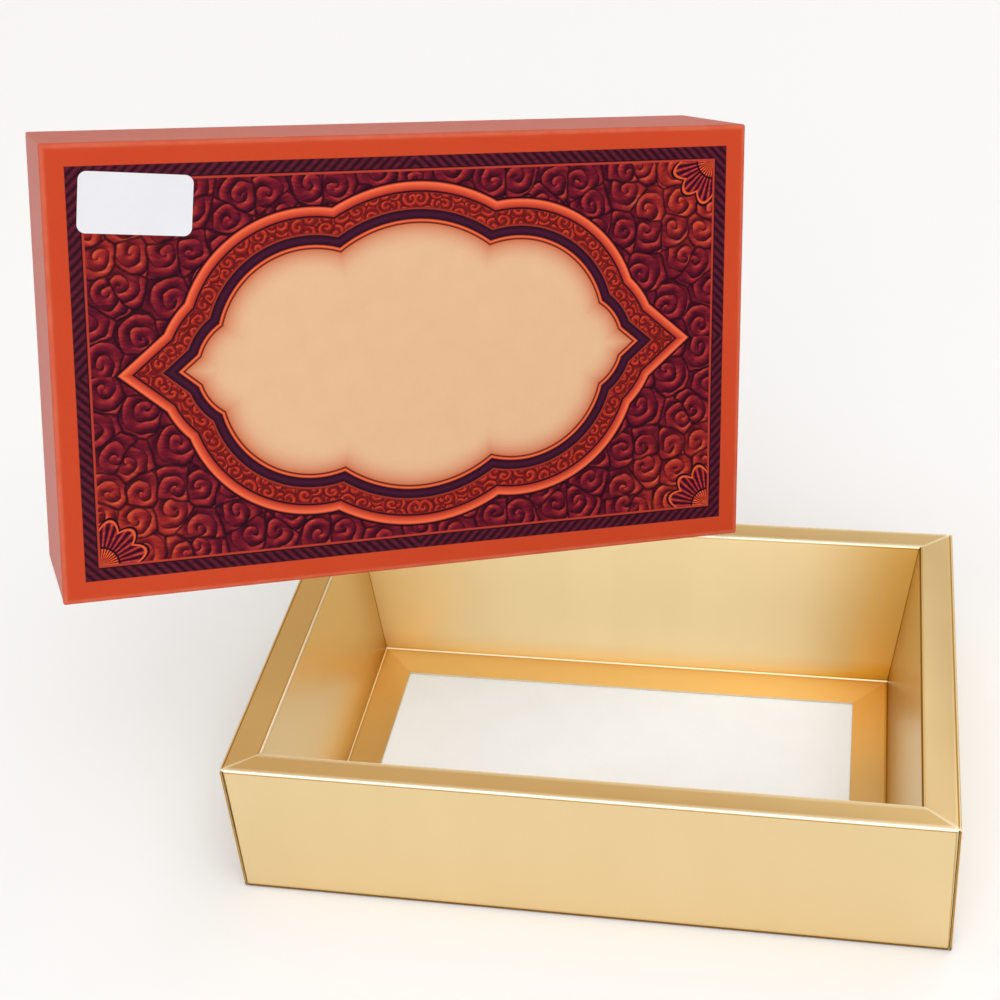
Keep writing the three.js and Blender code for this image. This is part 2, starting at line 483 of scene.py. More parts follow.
def painted_field(quarter, strokes, light):
    """Carved curls, orange near the corners and plum between them, with a fan of petals in each corner:
    the fan's edge is its reach plus the bulge times the size of the sine of the angle."""
    swayed = wavering(quarter, feature=6.0, amount=2.6)
    arm, lit, edge, shade = curls(swayed, cell=9.5, pitch=3.1, light=light)
    corner = vector_math(vector_math(quarter, "SUBTRACT", (*FIELD_HALF, 0)), "MULTIPLY", (-1, -1, 0))
    x, y, _ = parts(corner)
    reach = vector_math(corner, "LENGTH", None, "Value")
    angle = y.math("ARCTAN2", x)
    carved = carving(lit, strokes)
    glow = reach.scaled(-1 / GLOW_REACH, 1.0, clamp=True) * shade.scaled(0.6, 0.6)
    field = lay(glow, graded(carved, PLUM), graded(carved, EMBER))
    groove = (arm - 0.5).math("ABSOLUTE").scaled(8.0, -3.2, clamp=True)
    field = lay(groove.over(inside(edge, 0.4, 0.5)) * 0.85, field, NIGHT)
    bulge = (angle * (2 * FAN_PETALS)).math("SINE").math("ABSOLUTE")
    petals = reach - bulge.scaled(FAN_BULGE, FAN_REACH)
    ribs = carving((angle * (4 * FAN_RIBS)).math("SINE"), strokes)
    field = lay(inside(petals, FAN_LINE), field, tone(30, 5, 16))
    field = lay(inside(petals), field, tone(204, 82, 46))
    field = lay(inside(petals, -FAN_LINE), field, graded(ribs, PLUM))
    field = lay(inside(reach, FAN_HEART + 0.6), field, tone(36, 6, 18))
    return lay(inside(reach, FAN_HEART), field, graded(ribs, EMBER))


def ring_bands(distance):
    """The bands round the medallion as one colour ramp over the distance outside it, in millimetres."""
    stops = ((0.0, (96, 32, 26)), (0.35, (96, 32, 26)), (0.5, (178, 62, 36)), (0.85, (224, 108, 62)),
             (1.2, (160, 50, 34)), (1.35, (34, 6, 22)), (2.6, (64, 20, 44)), (3.9, (34, 6, 22)),
             (4.1, (150, 50, 36)), (4.6, (120, 34, 30)), (8.7, (120, 34, 30)), (8.9, (40, 7, 20)),
             (9.2, (40, 7, 20)), (9.4, (156, 44, 34)), (10.6, (206, 78, 50)), (11.4, (226, 104, 66)),
             (11.8, (138, 36, 32)), (11.95, (32, 5, 18)), (12.5, (32, 5, 18)))
    span = stops[-1][0]
    return graded(distance.scaled(1 / span, 0.0, clamp=True), [(at / span, tone(*ink)) for at, ink in stops])


def painted_face(tree, place, border):
    """The whole print on the face, from the border in to the medallion's bare middle."""
    face = noted(tree, "face", "Vector")
    quarter = vector_math(face, "ABSOLUTE", None)
    light = vector_math(vector_math(face, "SIGN", None), "MULTIPLY", LIGHT)
    swayed = wavering(face, feature=9.0, amount=5.0)
    strokes = cloudy(vector_math(swayed, "MULTIPLY", (1.0, 2.6, 1.0)), feature=2.2, detail=4)
    across, up, _ = parts(quarter)
    strand = ((across + up) * ROPE_STRANDS).math("FRACT").math("PINGPONG", 0.5).scaled(2.0, 0)
    rope = lay(strand * strokes.scaled(1.4, 0.2), NIGHT, tone(92, 26, 44))
    colour = lay(inside(frame_distance(quarter, PANEL_HALF)), border, rope)
    field_edge = frame_distance(quarter, FIELD_HALF)
    colour = lay(inside(field_edge, FIELD_LINES[1]), colour, tone(28, 4, 16))
    colour = lay(inside(field_edge, FIELD_LINES[0]), colour, tone(168, 56, 42))
    colour = lay(inside(field_edge), colour, painted_field(quarter, strokes, light))
    distance = medallion_distance(quarter)
    colour = lay(inside(distance, RINGS_REACH), colour, ring_bands(distance))
    swayed = wavering(quarter, feature=3.0, amount=1.1)
    arm, lit, edge, _ = curls(swayed, cell=4.0, pitch=1.7, light=light)
    thread = inside((arm - 0.5).math("ABSOLUTE"), 0.24, 0.12)
    lace = lay(thread, tone(104, 20, 22), graded(carving(lit, strokes, 0.35), EMBER))
    lace = lay(inside(edge, 0.16, 0.3), lace, tone(84, 14, 20))
    colour = lay(inside(distance, LACE_TO) * inside(distance * -1.0, -LACE_FROM), colour, lace)
    glow = distance.scaled(1 / 8, 1.0, clamp=True).math("POWER", 2.2)
    grain = cloudy(place, feature=0.006, detail=4).scaled(0.6, 0) + cloudy(place, feature=0.0007) * 0.4
    cream = lay(glow, lay(grain, tone(218, 178, 143), tone(209, 166, 128)), tone(190, 104, 70))
    return lay(inside(distance), colour, cream)


def printed_face():
    """The painted face on the red board's grain, almost without shine."""
    finish, tree, shader = new_finish("lid_face_print", Specular_IOR_Level=0.05)
    place = object_place(tree)
    border, specks = red_ink(tree, place)
    feed(tree, shader.inputs["Base Color"], painted_face(tree, place, border))
    feed(tree, shader.inputs["Roughness"], specks.scaled(0.12, 0.38))
    raise_grain(shader, [(cloudy(place, feature=0.014), 0.00005), (specks, 0.000006)])
    return finish


face_print = printed_face()
print(face_print.name, len(face_print.node_tree.nodes), "nodes")

# %% [markdown]
# ## Label paper
#
# A blank sticker sits on the lid's upper left corner. It is smooth coated paper, whiter and a touch
# bluer than the board, with only faint fibres. The same paper recipe serves with other colours.

# %% Label paper
label_paper = paper_board("label_paper", tone(220, 220, 224), tone(210, 210, 214), 0.5)
print(label_paper.name)

# %% [markdown]
# ## A folded board, seen end on
#
# Cut through one side of the tray and the section is a single line: up the outer wall, across the
# rim, down the inner wall and out along the flange. A sheet of plates with bevels could be put
# together, but it would show gaps at every crease. Here the line itself is drawn, with an arc at each
# fold, and its rows crowd together near the folds, where the light changes fastest.

# %% Fold section
EDGE_STEPS = np.array([0.0, 0.12, 0.3, 0.6, 1.2, 2.5])  # rows near a fold, mm
NO_RUN, SHORT_ROWS = 0.02, 7  # under this length, mm, a run is one row; a short run has a few even rows
ARC_ROWS = 8
CREASE_REACH = 0.12  # how far past a fold its wear and its painted shade reach, mm
SCORE_GAP, SCORE_HALF, SCORE_DEPTH = 0.36, 0.13, 0.06  # the pressed score line beside a fold, dented and painted dark as shade, mm


def spaced(length, spacing=4.0):
    """Places along a straight run, close together near its two ends and even between them."""
    if length < NO_RUN:
        return np.zeros(1)
    if length < 3 * EDGE_STEPS[-1]:
        return np.linspace(0, length, SHORT_ROWS)
    even = np.linspace(EDGE_STEPS[-1], length - EDGE_STEPS[-1], max(2, int(length / spacing)))
    return np.concatenate([EDGE_STEPS[:-1], even, length - EDGE_STEPS[-2::-1]])


def left_of(heading):
    """The direction a quarter turn to the left of a heading."""
    return np.stack([-np.sin(heading), np.cos(heading)], -1)


def fold_section(corners, radii, wear_and_shade, score):
    """Straight runs between the corners with an arc of the given radius at each fold. A point of an arc
    is its centre plus or minus the radius times the direction to the left of the path. Each row also
    gets its normal, the number of its run (a fraction on an arc), its share of the run, its distance
    along the sheet, how worn the crease is (below 0, how much shade is painted on it, with the score
    line painted dark as shade in its groove), and how deep its score line is."""
    corners, radii = np.array(corners, float), np.array(radii, float)
    legs = np.diff(corners, axis=0)
    lengths = np.linalg.norm(legs, axis=1)
    headings = np.arctan2(legs[:, 1], legs[:, 0])
    turns = (np.diff(headings) + np.pi) % (2 * np.pi) - np.pi
    setback = np.concatenate([[0], radii * np.tan(np.abs(turns) / 2), [0]])
    place, heading, run, share = [], [], [], []
    part = np.linspace(0, 1, ARC_ROWS + 2)[1:-1]
    for i, length in enumerate(lengths):
        straight = max(length - setback[i] - setback[i + 1], 0)
        steps = spaced(straight)
        place.append(corners[i] + np.outer(steps + setback[i], legs[i] / length))
        heading.append(np.full(len(steps), headings[i]))
        run.append(np.full(len(steps), float(i)))
        share.append(steps / max(straight, 1e-6))
        if i < len(turns):
            side = np.sign(turns[i]) * radii[i]
            end = corners[i] + legs[i] / length * (length - setback[i + 1])
            bend = headings[i] + turns[i] * part
            place.append(end + side * (left_of(headings[i]) - left_of(bend)))
            heading.append(bend)
            run.append(i + part)
            share.append(np.zeros(ARC_ROWS))
    place, run = np.concatenate(place), np.concatenate(run)
    along = np.concatenate([[0], np.cumsum(np.linalg.norm(np.diff(place, axis=0), axis=1))])
    crease, dent = np.zeros(len(run)), np.zeros(len(run))
    for i, (amount, press) in enumerate(zip(wear_and_shade, score)):
        arc = along[(run > i) & (run < i + 1)]
        gap = np.abs(along - arc.mean()) - np.ptp(arc) / 2
        crease += amount * np.exp(-((np.maximum(gap, 0) / CREASE_REACH) ** 2))
        dent += press * np.exp(-(((gap - SCORE_GAP) / SCORE_HALF) ** 2))
    # the score line is dented and painted dark, as shade in its groove
    return {"place": place, "normal": left_of(np.concatenate(heading)), "run": run,
            "share": np.concatenate(share), "along": along, "crease": crease - dent,
            "dent": SCORE_DEPTH * dent}


print("places on a run of 20 mm:", np.round(spaced(20), 2))

# %% [markdown]
# ## Carry the section along a side
#
# The section is carried along its side, and every row stops where its own mitre says. Board under its
# own tension is not flat: a wall bows in by a fraction of a millimetre between its corners, which is
# what makes the foil's reflections swell. Moving each point along its normal gives that bow.

# %% Carry a section along a side
CORNER_EASE = 0.5  # how round a wall's end is, mm
END_MARGIN = 6.0  # where the even columns begin, in from the end, mm
ease_angles = np.radians(np.linspace(90, 0, 6))
END_GAPS = np.concatenate([CORNER_EASE * (1 - np.sin(ease_angles)), [1.2, 2.5]])
END_DIPS = np.concatenate([CORNER_EASE * (1 - np.cos(ease_angles)), [0.0, 0.0]])


def carry(section, limit, bow, ease, spacing=5.0):
    """Visible and reverse side of a folded board: point = row's place along the side, moved in along the
    normal by bow x 4 share (1 - share) x (1 - (along / limit) squared), and eased round at both ends.
    The limit is how far each row reaches from the side's middle. Gives (inward, along, height)."""
    middle = np.linspace(-1, 1, int(2 * limit.max() / spacing))
    inner = np.outer(limit - END_MARGIN, middle)
    ends = limit[:, None] - END_GAPS[None, :]
    along = np.concatenate([-ends, inner, ends[:, ::-1]], axis=1)
    dip = np.concatenate([END_DIPS, np.zeros(len(middle)), END_DIPS[::-1]])
    swell = bow * 4 * section["share"] * (1 - section["share"])
    hang = swell[:, None] * (1 - (along / limit[:, None]) ** 2)
    front = hang + ease[:, None] * dip[None, :] / CORNER_EASE + section["dent"][:, None]
    rows, normal = section["place"][:, None, :], section["normal"][:, None, :]

    def lifted(depth):
        flat = rows - normal * depth[..., None]
        return np.stack([flat[..., 0], along, flat[..., 1]], -1)

    return lifted(front), lifted(hang + board), along


print("columns at each end of a side:", np.round(END_GAPS, 2))

# %% [markdown]
# ### Close the sheet
#
# Board has two sides and a cut edge. A Solidify modifier could thicken a single skin, but the reverse of
# a mitred fold needs its own points, so both sides are worked out as grids and joined by strips of faces
# along the edges. Each point also keeps notes, such as how worn it is and how much shade is painted on it,
# which the finishes read.

# %% Close a board into a solid sheet


def grid_faces(index):
    """Four-cornered faces between the neighbours of a grid of point numbers."""
    return np.stack([index[:-1, :-1], index[:-1, 1:], index[1:, 1:], index[1:, :-1]], -1).reshape(-1, 4)


def new_piece(name, points, faces, finish_of_face, finishes, notes):
    """A mesh in metres from points in millimetres. Faces are turned outwards if the signed volume, the
    sum of corner x (edge x edge), is negative. The notes become attributes of the points."""
    corner = points[faces]
    volume = np.einsum("ij,ij->", corner[:, 0], np.cross(corner[:, 1], corner[:, 2]))
    volume += np.einsum("ij,ij->", corner[:, 0], np.cross(corner[:, 2], corner[:, 3]))
    if volume < 0:
        faces = faces[:, ::-1]
    mesh = bpy.data.meshes.new(name)
    mesh.from_pydata((points * MM).tolist(), [], faces.tolist())
    for finish in finishes:
        mesh.materials.append(finish)
    mesh.polygons.foreach_set("material_index", finish_of_face.astype(np.int32))
    for note, values in notes.items():
        kind, entry = ("FLOAT_VECTOR", "vector") if values.ndim == 2 else ("FLOAT", "value")
        mesh.attributes.new(note, kind, "POINT").data.foreach_set(entry, values.astype(np.float32).ravel())
    mesh.shade_smooth()
    mesh.set_sharp_from_angle(angle=math.radians(35))
    piece = bpy.data.objects.new(name, mesh)
    bpy.context.collection.objects.link(piece)
    print(name, len(faces), "faces,", round(abs(volume) / 6 / 1000, 2), "cubic centimetres")
    return piece


def close_board(name, visible, reverse, finishes, notes, ends=1):
    """A sheet with a visible side, a reverse side and cut edges all round, from two grids of points. The
    finish at the two ends is the cut edge, or 0 where the visible side is wrapped round them."""
    rows, columns = visible.shape[:2]
    front = np.arange(rows * columns).reshape(rows, columns)
    back = front + rows * columns
    edges = [np.stack([front[0], back[0]]).T, np.stack([back[-1], front[-1]]).T,
             np.stack([back[:, 0], front[:, 0]]).T, np.stack([front[:, -1], back[:, -1]]).T]
    sides = [grid_faces(front), grid_faces(back)[:, ::-1], *[grid_faces(edge) for edge in edges]]
    finish_of_face = np.concatenate([np.full(len(s), k) for s, k in zip(sides, (0, 2, 1, 1, ends, ends))])
    points = np.concatenate([visible.reshape(-1, 3), reverse.reshape(-1, 3)])
    both = {}
    for note, values in notes.items():
        flat = values.reshape(rows * columns, -1)
        both[note] = np.concatenate([flat, 0 * flat]).squeeze()
    return new_piece(name, points, np.concatenate(sides), finish_of_face, finishes, both)


print("a board has a visible side, a cut edge and a reverse")

# %% [markdown]
# ## The tray's four sides
#
# Each side is one strip of gold board, folded four times. At the corners the rims, inner walls and
# flanges of two neighbours meet in closed mitres, so each row is cut back by how far its neighbour reaches
# at that height. The front and back walls stand between the end walls, with a thin open slit beside them.
# Plates with bevels would leave a gap at every crease, so each strip is one section carried along.

# %% Sections and mitres of the tray
CREASE_GAP = 0.2  # between two panels of the frame that meet at a crease, mm
WALL_LAP = board + CREASE_GAP  # the front and back walls stand this far in, between the end walls
FOOT_TURN = 0.15  # how much further than the board's thickness a wall turns under at its foot, mm
TRAY_RADII = (0.7, 0.5, 0.5, 0.35)  # of the four folds, from the foot over the rim to the flange, mm
TRAY_SCORE = (0.9, 0.7, 0.3, 0.2)  # how deep their score lines are pressed, as shares, and how dark they are painted as shade


def tray_section(own, wear_and_shade):
    """Up the outer wall, over the rim, down the sloping inner wall and in along the flange. The rows' runs
    are 0 under the foot, 1 on the outer wall, 2 on the rim, 3 on the inner wall and 4 on the flange."""
    lean = (own["foot"] - own["rim"]) / (tray_height - foot_height)
    foot = own["rim"] + lean * (tray_height - flange_top)
    corners = [(board + FOOT_TURN, 0), (0, 0), (0, tray_height), (own["rim"], tray_height),
               (foot, flange_top), (own["edge"], flange_top)]
    return fold_section(corners, TRAY_RADII, wear_and_shade, TRAY_SCORE)


def mitre_cut(section, own, neighbour, wall_cut):
    """How far short of the corner each row stops: the wall by its lap, the rim in step with the two rims'
    widths, the inner wall by the neighbour's slope at that height, the flange at 45 degrees."""
    inward, height = section["place"].T
    run = section["run"]
    slope = (neighbour["foot"] - neighbour["rim"]) / (tray_height - foot_height)
    rim = inward * neighbour["rim"] / own["rim"]
    inner = neighbour["rim"] + slope * (tray_height - height)
    wall = (run > 2) & (run <= 3)
    flange = inner[wall].max() + np.maximum(inward - inward[wall].max(), 0)
    arc = np.clip(run - 1, 0, 1)
    cut = wall_cut * (1 - arc) + rim * arc
    return np.where(run > 3, flange, np.where(run > 2, inner, cut))


def placed(points, along_x, sign, half):
    """Turns (inward, along, height) into x, y, z on one side of a box."""
    inward, along, height = np.moveaxis(points, -1, 0)
    across = sign * (half - inward)
    return np.stack([along, across, height] if along_x else [across, along, height], -1)


print("front and back walls stand", round(WALL_LAP, 2), "mm in from the ends")

# %% [markdown]
# ### Where the foil is worn, and where shade is painted on it
#
# Foil tells how a box was made. It is worn pale along outer folds and mitres. Shade is painted on it too:
# dark lines beside a crease, partly a pressed score, and where a wall stands on the table, and a deeper
# tone on the glued flanges, on the rims and in the corners, where gold is lit by gold. A mask could be
# painted by hand, but each of these is a distance from an edge, so one number at each point is worked out
# from those distances, and the foil's finish reads it.

# %% Foil wear
TRAY_WEAR_AND_SHADE = {"front": (-1.0, 1.0, 0.7, 0.5), "back": (-1.0, 1.0, 0.9, 0.5), "left": (-1.0, 0.3, 0.6, 0.3),
             "right": (-1.0, 0.2, -0.8, -0.5)}  # the four folds: above 0 worn pale, below 0 painted shade, as a dark line
SEAM_WEAR_AND_SHADE = (-0.7, 0.7, -0.5)  # at the ends of the outer wall, the rim and the inner wall: worn pale above 0, painted shade below 0
SEAM_REACH, TIP_WEAR = 0.18, 0.3  # how wide a seam's wear and painted shade reach, and how much wider at the outer tip, mm
FLANGE_PAINTED_SHADE = {"front": 0.2, "back": 0.19, "left": 0.28, "right": 0.29}  # painted shade on the glued flanges: a deeper gold, as gold lit by gold
RIM_PAINTED_SHADE = {"front": 0.16, "back": 0.05, "left": 0.18, "right": 0.03}  # and painted shade on the rims
CORNER_PAINTED_SHADE = {"front": (0.0, 0.0, 10.0), "back": (0.05, 0.42, 24.0), "left": (0.0, 0.3, 14.0),
          "right": (0.0, 0.15, 10.0)}  # and painted shade at the two ends of the inner walls, in the corners, with its reach in mm
FOOT_PAINTED_SHADE, FOOT_SHADE_REACH = 0.22, 3.0  # and painted shade along their feet
CONTACT_PAINTED_SHADE, CONTACT_SHADE_REACH = 0.8, 1.0  # and painted shadow where the outer walls meet the table


def foil_wear_and_shade(side, own, section, end_gap, along):
    """How worn (above 0) the foil is at each point, or how much shade is painted on it (below 0): the folds'
    own wear and painted shade, plus the seam's, less the painted shade of the part. Each fades with the
    distance from its edge as exp(-(distance / reach) squared). A seam is worn wider towards the outer tip of
    its mitre."""
    run, (inward, height) = section["run"], section["place"].T
    seam = np.select([run <= 1, run <= 2, run <= 3], SEAM_WEAR_AND_SHADE, 0.0)
    tip = np.clip(1 - inward / own["rim"], 0, 1) * (run > 1) * (run <= 2)
    faded = np.exp(-((end_gap / (SEAM_REACH + TIP_WEAR * tip)[:, None]) ** 2))
    # painted shade in the corners, towards the two ends of each inner wall
    first, last, corner_shade_reach = CORNER_PAINTED_SHADE[side]
    corner_shade = np.exp(-((end_gap / corner_shade_reach) ** 2)) * np.where(along < 0, first, last)
    above_foot = np.maximum(section["along"][run > 3][0] - section["along"], 0)
    # painted shade along the foot of each inner wall
    foot = FOOT_PAINTED_SHADE * np.exp(-((above_foot / FOOT_SHADE_REACH) ** 2))
    # painted shadow where the outer wall meets the table
    hem = CONTACT_PAINTED_SHADE * np.exp(-((height / CONTACT_SHADE_REACH) ** 2))
    # painted shade of each part: at the table, on the rims and on the flanges
    part_shade = np.select([run <= 1, run == 2, run >= 4], [hem, RIM_PAINTED_SHADE[side], FLANGE_PAINTED_SHADE[side]], 0.0)
    inner_wall = (run > 2) & (run <= 3)
    painted_shade = np.where(inner_wall[:, None], corner_shade + foot[:, None], part_shade[:, None])
    return np.clip(section["crease"][:, None] + faded * seam[:, None] - painted_shade, -1, 1)


print("a seam is worn over", SEAM_REACH, "mm, and at its outer tip over", SEAM_REACH + TIP_WEAR)

# %% [markdown]
# ### Fold and hang the four sides
#
# Now the strips are carried along their sides. The loop could be four blocks of code, but the sides
# differ only in their direction, their widths, their wear and the shade painted on them.

# %% Tray sides
SLIT = 0.3  # the open slit beside the front and back walls, at half their height, mm
TRAY_BOW = np.array([0.0, 0.28, 0.12, 0.25, 0.0])  # how far each run bows in, mm
LAPPED_EASE, OPEN_EASE = 0.3, 1.0  # how round the outer walls' ends are, between the end walls and on them
tray_sides = {}
for side, along_x, sign in (("front", True, -1), ("back", True, 1), ("left", False, -1), ("right", False, 1)):
    own, neighbour = (long_wall, end_wall) if along_x else (end_wall, long_wall)
    half, reach = (half_width, half_length) if along_x else (half_length, half_width)
    section = tray_section(own, TRAY_WEAR_AND_SHADE[side])
    run, height = section["run"], section["place"][:, 1]
    lap = (WALL_LAP + SLIT * (0.5 + height / tray_height)) * along_x
    limit = reach - mitre_cut(section, own, neighbour, lap)
    ease = CORNER_EASE * np.clip(2 - run, 0, 1) * (LAPPED_EASE if along_x else OPEN_EASE)
    visible, reverse, along = carry(section, limit, TRAY_BOW[run.astype(int)], ease)
    crease = foil_wear_and_shade(side, own, section, limit[:, None] - np.abs(along), along)
    sheet = np.stack([along, section["along"][:, None] + 0 * along, 0 * along + sign * half], -1)
    finishes = (gold, cut_edge, white_board if along_x else gold)
    piece = close_board(f"tray_side_{side}", placed(visible, along_x, sign, half),
                        placed(reverse, along_x, sign, half), finishes,
                        {"sheet": sheet, "crease": crease}, ends=1 if along_x else 0)
    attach(piece, "tray")
    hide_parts(*[f"tray_{part}_{side}" for part in ("outer_wall", "rim", "inner_wall", "flange")])
    tray_sides[side] = piece

# %% [markdown]
# ## The tray's floor
#
# The floor shows the sheet's white reverse, and its underside is gold. It is held by the flanges that
# are glued to its edges, and between them it lifts by a hair. It is made as a board of its own, with
# the gold side down.

# %% Tray floor
FLOOR_LIFT = 0.25  # mm
LIFTED_HALF = (70.0, 31.0)  # half the length and width of the part between the flanges, mm


def floor_grid(height):
    """A rectangle of points, raised by the lift x (1 - x squared)(1 - y squared), where x and y go from -1
    to 1 over the lifted part."""
    across, up = np.meshgrid(*[spaced(2 * half) - half for half in base_half])
    hump = [np.clip(1 - (place / half) ** 2, 0, 1) for place, half in zip((across, up), LIFTED_HALF)]
    return np.stack([across, up, height + FLOOR_LIFT * hump[0] * hump[1]], -1)


top, under = floor_grid(board), floor_grid(0.0)
floor_panel = close_board("tray_floor_panel", under, top, (gold, cut_edge, white_board),
                          {"sheet": under, "crease": 0 * under[..., 0]})
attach(floor_panel, "tray")
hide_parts("tray_base")

# %% [markdown]
# ## The lid's own frame
#
# The lid leans, so its panels are not lined up with the scene. Its face panel tells how it lies: the
# longest of its directions runs along the lid, the shortest is the board's thickness. Every lid piece
# is worked out flat, face up, and then turned into this frame.

# %% Lid frame


def node_points(node):
    """The points of a plate, in scene millimetres."""
    data = frame["nodes"][node].data
    flat = np.empty(3 * len(data.vertices))
    data.vertices.foreach_get("co", flat)
    return flat.reshape(-1, 3) / MM


corners = node_points("lid_face")
centre = (corners.min(0) + corners.max(0)) / 2
offsets = np.unique(np.round(corners - centre, 4), axis=0)
_, _, axes = np.linalg.svd(offsets)
lid_x = axes[0] * np.sign(axes[0][0])
lid_z = axes[2] * -np.sign(axes[2][1])
lid_axes = np.stack([lid_x, np.cross(lid_z, lid_x), lid_z])
face_half = np.abs(offsets @ lid_axes.T).max(0)
face_origin = centre + lid_z * face_half[2]


def in_lid(points):
    """Turns lid millimetres, with the face's outer side at height 0, into scene millimetres."""
    return face_origin + points @ lid_axes


def lid_points(node):
    """A lid plate's points in the lid's own frame."""
    return (node_points(node) - face_origin) @ lid_axes.T


lid_bottom = lid_points("lid_outer_wall_lower")[:, 2].min()
_, turned_in_edge, turned_in_top = lid_points("lid_turned_in_wall_lower").max(0)
long_layers = turned_in_edge + face_half[1]
end_layers = lid_points("lid_turned_in_wall_left")[:, 0].max() + face_half[0]
print("lid face", np.round(2 * face_half, 2), "depth", round(lid_bottom, 2), "layers", round(long_layers, 2),
      round(end_layers, 2))

# %% [markdown]
# ## The printed face panel
#
# The face is a flat sheet whose four edges fold down into the walls. Its middle is a grid of points.
# Its edges are loops round that grid: each loop goes a step further round the fold, out and down, and
# at the corners it draws in to a small radius. A bevelled box would give the same outline, but not the
# fold's even curve or the distances from the face's middle that the print needs.

# %% Printed face panel
FOLD_RADIUS, CORNER_RADIUS = 0.9, 0.6  # of the folds along the edges, and of the corners, mm
CORNER_REACH = 0.3  # the last part of an edge, which turns round the corner, mm
SKIRT = 1.8  # how far below the face the folded edge ends, mm
FACE_BOW = 0.35  # how far the middle of the face sinks in, mm
FACE_MARGIN, FACE_SPACING = 2.5, 4.0  # where the even part of the grid begins, and its spacing, mm
EDGE_LINES = (0.7, 1.4)  # two lines of the grid between its edge and the even part, mm
WORN_DROP, WORN_FADE = 0.6, 0.4  # how far down the fold the print is worn, and how fast that fades, mm
fold_half = face_half[:2] - FOLD_RADIUS
corner_steps = np.linspace(0, CORNER_REACH, 5)


def face_lines(half):
    """Places across the face, crowded at both ends so that the corners can turn."""
    even = np.linspace(FACE_MARGIN - half, half - FACE_MARGIN, int(2 * half / FACE_SPACING))
    near = np.concatenate([corner_steps, EDGE_LINES])
    return np.concatenate([near - half, even, half - near[::-1]])


def rounded_edge(inner):
    """For points round the inner rectangle, their partners on the outer rectangle with round corners: a
    straight edge is stretched, and the last steps before a corner turn through 45 degrees."""
    near = np.clip((np.abs(inner) - (fold_half - CORNER_REACH)) / CORNER_REACH, 0, 1)
    on_side = np.abs(inner) > fold_half - 1e-6
    turn = np.radians(45) * near.min(1)
    straight = face_half[:2] - CORNER_RADIUS
    spread = np.abs(inner) * straight / (fold_half - CORNER_REACH)
    reach = np.minimum(spread, straight)
    wide, narrow = CORNER_RADIUS * np.cos(turn), CORNER_RADIUS * np.sin(turn)
    first = on_side[:, 0] & ~on_side[:, 1]
    both = on_side.all(1)
    extra = np.stack([np.where(first | both, wide, narrow), np.where(first & ~both, narrow, wide)], 1)
    return np.sign(inner) * (reach + extra)


def face_panel():
    """The face as a closed sheet. Its middle lies lower by bow x (1 - x squared)(1 - y squared), where x and
    y go from -1 to 1. A loop round it is at inner + share x (outer - inner), where the share is the sine
    of the fold's angle, and it drops by the radius x (1 - cosine). The reverse does so a board further in."""
    across, up = np.meshgrid(face_lines(fold_half[0]), face_lines(fold_half[1]))
    rows, columns = across.shape
    bow = FACE_BOW * (1 - (across / fold_half[0]) ** 2) * (1 - (up / fold_half[1]) ** 2)
    number = np.arange(rows * columns).reshape(rows, columns)
    rim = np.concatenate([number[0, :-1], number[:-1, -1], number[-1, :0:-1], number[:0:-1, 0]])
    inner = np.stack([across.ravel(), up.ravel()], 1)[rim]
    outer = rounded_edge(inner)
    angle = np.radians(np.linspace(0, 90, 9))[1:]
    skirt = np.linspace(FOLD_RADIUS, SKIRT, 4)[1:]
    share = np.concatenate([np.sin(angle), np.ones(len(skirt))])
    shares = [share, share * (1 - board / FOLD_RADIUS)]
    drops = [np.concatenate([FOLD_RADIUS * (1 - np.cos(angle)), skirt]),
             np.concatenate([FOLD_RADIUS - (FOLD_RADIUS - board) * np.cos(angle), skirt])]
    points, layers = [], []
    for depth, part, drop in zip((0.0, board), shares, drops):
        start = sum(len(p) for p in points)
        flat = np.stack([across, up, -depth - bow], -1).reshape(-1, 3)
        ring = inner + part[:, None, None] * (outer - inner)
        loops = np.concatenate([ring, np.broadcast_to(-drop[:, None, None], ring.shape[:2] + (1,))], -1)
        points += [flat, loops.reshape(-1, 3)]
        loop_number = rows * columns + np.arange(loops[..., 0].size).reshape(loops.shape[:2])
        rings = np.concatenate([rim[None], loop_number]) + start
        layers.append((number + start, np.concatenate([rings, rings[:, :1]], 1)))
    (top, skirt_out), (under, skirt_in) = layers
    hem = np.stack([skirt_out[-1], skirt_in[-1]])
    sides = [grid_faces(top), grid_faces(skirt_out)[:, ::-1],
             grid_faces(under)[:, ::-1], grid_faces(skirt_in), grid_faces(hem)[:, ::-1]]
    points = np.concatenate(points)
    finish_of_face = np.concatenate([np.full(len(s), k) for s, k in zip(sides, (0, 0, 2, 2, 1))])
    below = np.maximum(np.abs(points[:, 2] + WORN_DROP / 2) - WORN_DROP / 2, 0)
    edge = (np.abs(points[:, :2]) - fold_half).max(1)
    crease = np.exp(-((below / WORN_FADE) ** 2)) * np.exp(-((np.minimum(edge, 0) / WORN_FADE) ** 2))
    return new_piece("lid_printed_face", in_lid(points), np.concatenate(sides), finish_of_face,
                     (face_print, cut_edge, white_board), {"face": points, "crease": crease})


lid_face_piece = face_panel()
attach(lid_face_piece, "lid")
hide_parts("lid_face")

# %% [markdown]
# ## The lid's walls
#
# Each wall of the lid is one strip that goes down from the face, turns under at the open edge and comes
# back up inside, so that no raw edge shows. The turn is round, because two or three layers lie inside
# it. It is the same fold section as the tray's, with two quarter turns that make the round hem.

